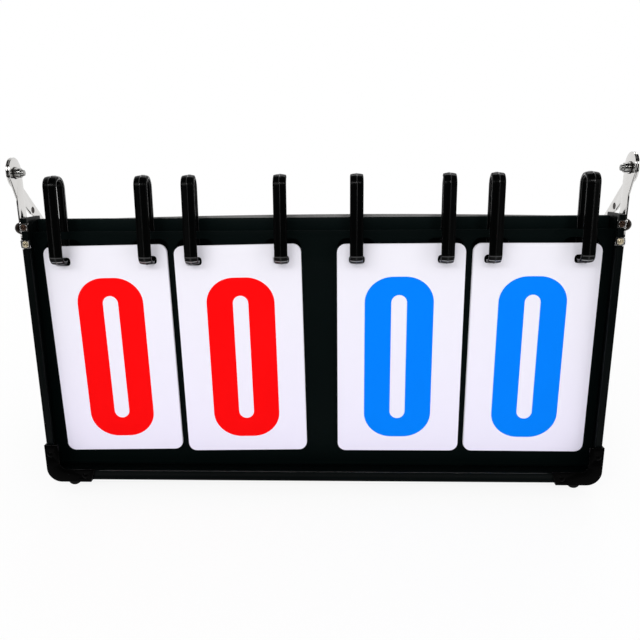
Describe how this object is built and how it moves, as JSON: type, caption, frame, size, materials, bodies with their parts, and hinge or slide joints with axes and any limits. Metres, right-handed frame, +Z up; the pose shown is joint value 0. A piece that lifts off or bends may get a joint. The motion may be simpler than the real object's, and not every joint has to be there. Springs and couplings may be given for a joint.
{
  "type": "tabletop flip scoreboard",
  "caption": "Tabletop flip scoreboard: a black case with number cards on hoops, hinged by chrome arms to a folding rear stand.",
  "frame": {"origin": "middle of the footprint, on the table", "axes": "+X to the reader's right, +Y away from the reader, +Z up"},
  "size_m": [0.3926, 0.1363, 0.2219],
  "materials": {
    "frame_black": "satin black powder coat",
    "board_black": "fine matt black board",
    "guard_black": "smooth moulded black",
    "dark_rivet": "blackened steel",
    "foot_rubber": "soft black rubber",
    "hoop_plastic": "glossy moulded black",
    "deck_stock": "coated white card",
    "card_stock": "coated white card with printed numerals",
    "chrome_arm": "bright nickel plate"
  },
  "bodies": {
    "case": {"side_rail_left": "frame_black", "side_rail_right": "frame_black", "bottom_rail": "frame_black", "top_rail": "frame_black", "display_board": "board_black", "back_panel": "board_black", "corner_protector_left": "guard_black", "corner_protector_right": "guard_black", "corner_rivets": "dark_rivet", "arm_screws": "dark_rivet", "case_feet": "foot_rubber", "hoop_1": "hoop_plastic", "hoop_2": "hoop_plastic", "hoop_3": "hoop_plastic", "hoop_4": "hoop_plastic", "hoop_5": "hoop_plastic", "hoop_6": "hoop_plastic", "hoop_7": "hoop_plastic", "hoop_8": "hoop_plastic", "card_pack_home_tens": "deck_stock", "card_pack_home_ones": "deck_stock", "card_pack_guest_tens": "deck_stock", "card_pack_guest_ones": "deck_stock", "front_arm_left": "chrome_arm", "front_arm_right": "chrome_arm", "pivot_pin_left": "chrome_arm", "pivot_pin_right": "chrome_arm", "pivot_spacer_left": "chrome_arm", "pivot_spacer_right": "chrome_arm", "ear_rivets": "chrome_arm"},
    "stand": {"rear_arm_left": "chrome_arm", "rear_arm_right": "chrome_arm", "stand_rail_left": "frame_black", "stand_rail_right": "frame_black", "stand_bottom_rail": "frame_black", "stand_top_rail": "frame_black", "stand_panel": "board_black", "stand_corner_left": "guard_black", "stand_corner_right": "guard_black", "link_rivets": "dark_rivet", "stand_arm_rivets": "chrome_arm", "stand_corner_rivets": "dark_rivet", "stand_feet": "foot_rubber"},
    "card_home_tens": {"front_card_home_tens": "card_stock"},
    "card_home_ones": {"front_card_home_ones": "card_stock"},
    "card_guest_tens": {"front_card_guest_tens": "card_stock"},
    "card_guest_ones": {"front_card_guest_ones": "card_stock"}
  },
  "joints": [
    {"name": "stand_fold", "type": "hinge", "parent": "case", "child": "stand", "pos_m": [0, 0.00413, 0.21267], "axis": [-1, 0, 0], "range_deg": [0, 26]},
    {"name": "flip_home_tens", "type": "hinge", "parent": "case", "child": "card_home_tens", "pos_m": [-0.1416, -0.00351, 0.16549], "axis": [-1, 0, 0], "range_deg": [0, 90]},
    {"name": "flip_home_ones", "type": "hinge", "parent": "case", "child": "card_home_ones", "pos_m": [-0.0534, -0.00351, 0.16549], "axis": [-1, 0, 0], "range_deg": [0, 90]},
    {"name": "flip_guest_tens", "type": "hinge", "parent": "case", "child": "card_guest_tens", "pos_m": [0.0534, -0.00351, 0.16549], "axis": [-1, 0, 0], "range_deg": [0, 90]},
    {"name": "flip_guest_ones", "type": "hinge", "parent": "case", "child": "card_guest_ones", "pos_m": [0.1416, -0.00351, 0.16549], "axis": [-1, 0, 0], "range_deg": [0, 90]}
  ]
}
